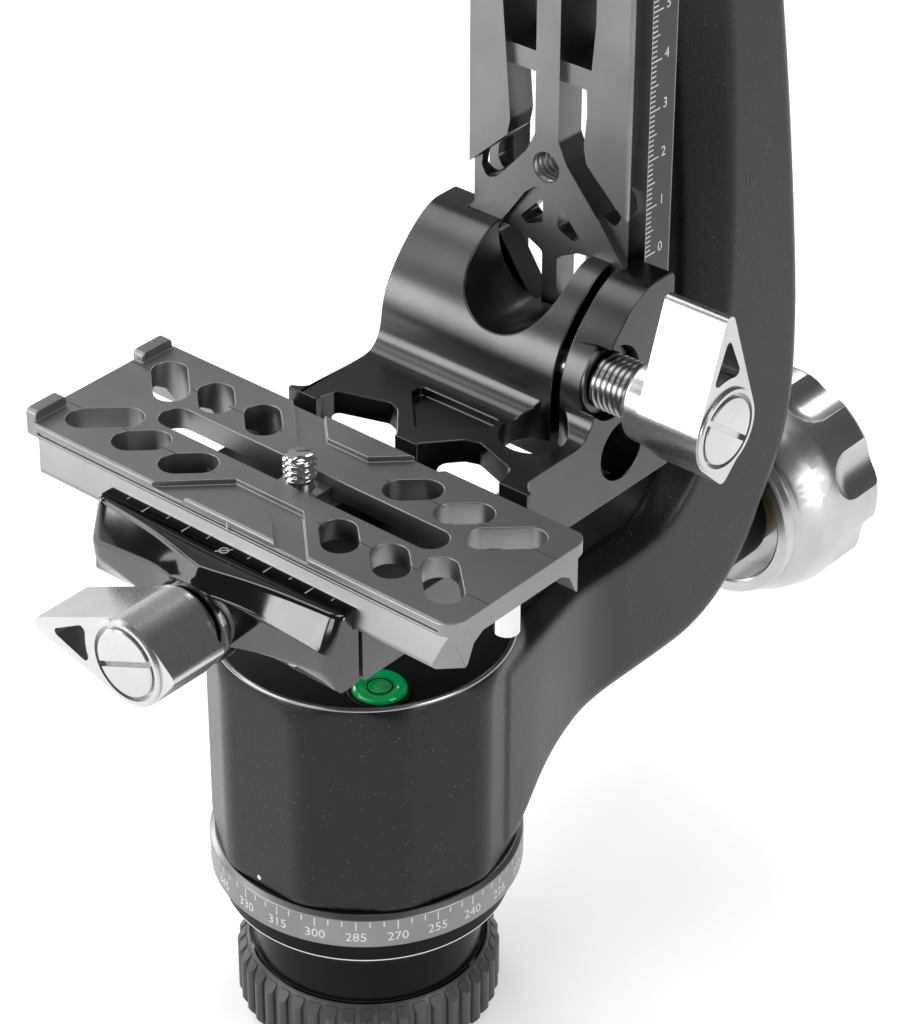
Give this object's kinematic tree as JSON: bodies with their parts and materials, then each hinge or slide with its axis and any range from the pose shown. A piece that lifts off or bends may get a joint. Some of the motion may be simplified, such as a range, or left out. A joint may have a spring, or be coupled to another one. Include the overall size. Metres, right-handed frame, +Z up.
{
  "type": "gimbal tripod head",
  "caption": "Gimbal head with a panning base, L-shaped arm, swing rail with sliding platform, lever clamps and a dovetail quick-release plate.",
  "frame": {"origin": "centre of the flat bottom face, on the pan axis, in the mouth of the tripod socket", "axes": "+Z up along the pan axis, +Y towards the upright of the arm, +X along the long side of the quick-release plate; all joints at rest"},
  "size_m": [0.1059, 0.2029, 0.261],
  "materials": {
    "textured_black": "matte",
    "gunmetal": "satin",
    "satin_black": "satin",
    "gloss_black": "gloss",
    "silver": "satin",
    "bright_ring": "satin",
    "steel": "satin",
    "bright_steel": "polished",
    "brass": "satin",
    "grip_rubber": "satin",
    "black_plastic": "satin",
    "vial_green": "gloss"
  },
  "bodies": {
    "base": {"base_flange": "satin_black", "grip_collar": "grip_rubber", "degree_ring": "bright_ring", "thread_insert": "steel", "ring_screws": "steel", "pan_spindle": "steel", "spindle_nut": "steel"},
    "arm": {"arm_casting": "textured_black", "top_cap": "satin_black", "level_cup": "black_plastic", "level_vial": "vial_green", "pan_bearing_lower": "steel", "pan_bearing_upper": "steel", "tilt_bearing_front": "steel", "tilt_bearing_rear": "steel", "bearing_cover": "satin_black", "cover_screws": "steel"},
    "pan_brake": {"pan_brake_pad": "brass"},
    "pan_knob": {"pan_lock_knob": "silver", "pan_lock_rod": "steel", "pan_knob_cap": "silver", "pan_washer": "brass"},
    "swing": {"tilt_shaft": "steel", "tilt_hub": "satin_black", "swing_rail": "gunmetal", "hub_cap": "bright_ring", "hub_screws": "steel"},
    "tilt_knob": {"tilt_lock_knob": "silver", "tilt_knob_cap": "silver", "tilt_washer": "brass"},
    "platform": {"platform_bracket": "satin_black", "clamp_base": "gunmetal", "clamp_screws": "steel", "guide_pins": "steel", "rail_lever_washer": "satin_black"},
    "rail_clamp": {"rail_lever": "silver", "rail_lever_stud": "steel", "rail_lever_cap": "silver"},
    "jaw": {"front_jaw": "gloss_black"},
    "jaw_clamp": {"jaw_lever": "silver", "jaw_lever_stud": "steel", "jaw_lever_cap": "silver"},
    "plate": {"quick_plate": "gunmetal", "plate_stop_pins": "bright_steel"},
    "screw_carriage": {"screw_slider": "steel"},
    "camera_thumbscrew": {"camera_screw": "bright_steel"}
  },
  "joints": [
    {"name": "pan", "type": "hinge", "parent": "base", "child": "arm", "pos_m": [0, 0, 0.034], "axis": [0, 0, 1], "continuous": true},
    {"name": "pan_brake_press", "type": "slide", "parent": "arm", "child": "pan_brake", "axis": [0, -1, 0], "range_m": [0, 0.0003]},
    {"name": "pan_lock", "type": "hinge", "parent": "arm", "child": "pan_knob", "pos_m": [0, 0.112, 0.058], "axis": [0, -1, 0], "range_deg": [0, 108]},
    {"name": "tilt", "type": "hinge", "parent": "arm", "child": "swing", "pos_m": [0, 0.0525, 0.234], "axis": [0, 1, 0], "continuous": true},
    {"name": "tilt_lock", "type": "hinge", "parent": "swing", "child": "tilt_knob", "pos_m": [0, 0.1015, 0.234], "axis": [0, -1, 0], "range_deg": [0, 108]},
    {"name": "platform_height", "type": "slide", "parent": "swing", "child": "platform", "axis": [0, 0, 1], "range_m": [0, 0.08]},
    {"name": "rail_clamp_turn", "type": "hinge", "parent": "platform", "child": "rail_clamp", "pos_m": [0.04, 0.041, 0.1325], "axis": [1, 0, 0], "range_deg": [0, 270]},
    {"name": "jaw_open", "type": "slide", "parent": "platform", "child": "jaw", "axis": [0, -1, 0], "range_m": [0, 0.003]},
    {"name": "jaw_clamp_turn", "type": "hinge", "parent": "jaw", "child": "jaw_clamp", "pos_m": [-0.0009, -0.0453, 0.1112], "axis": [0, -1, 0], "range_deg": [0, 1080]},
    {"name": "plate_shift", "type": "slide", "parent": "platform", "child": "plate", "axis": [1, 0, 0], "range_m": [-0.015, 0.0165]},
    {"name": "screw_shift", "type": "slide", "parent": "plate", "child": "screw_carriage", "axis": [1, 0, 0], "range_m": [-0.026, 0.026]},
    {"name": "camera_screw_turn", "type": "hinge", "parent": "screw_carriage", "child": "camera_thumbscrew", "pos_m": [-0.0008, -0.0156, 0.128], "axis": [0, 0, 1], "continuous": true}
  ],
  "couplings": [
    {"joint": "pan_lock", "follows": "pan_brake_press", "rad_per_m": 6283},
    {"joint": "jaw_clamp_turn", "follows": "jaw_open", "rad_per_m": 6283}
  ]
}
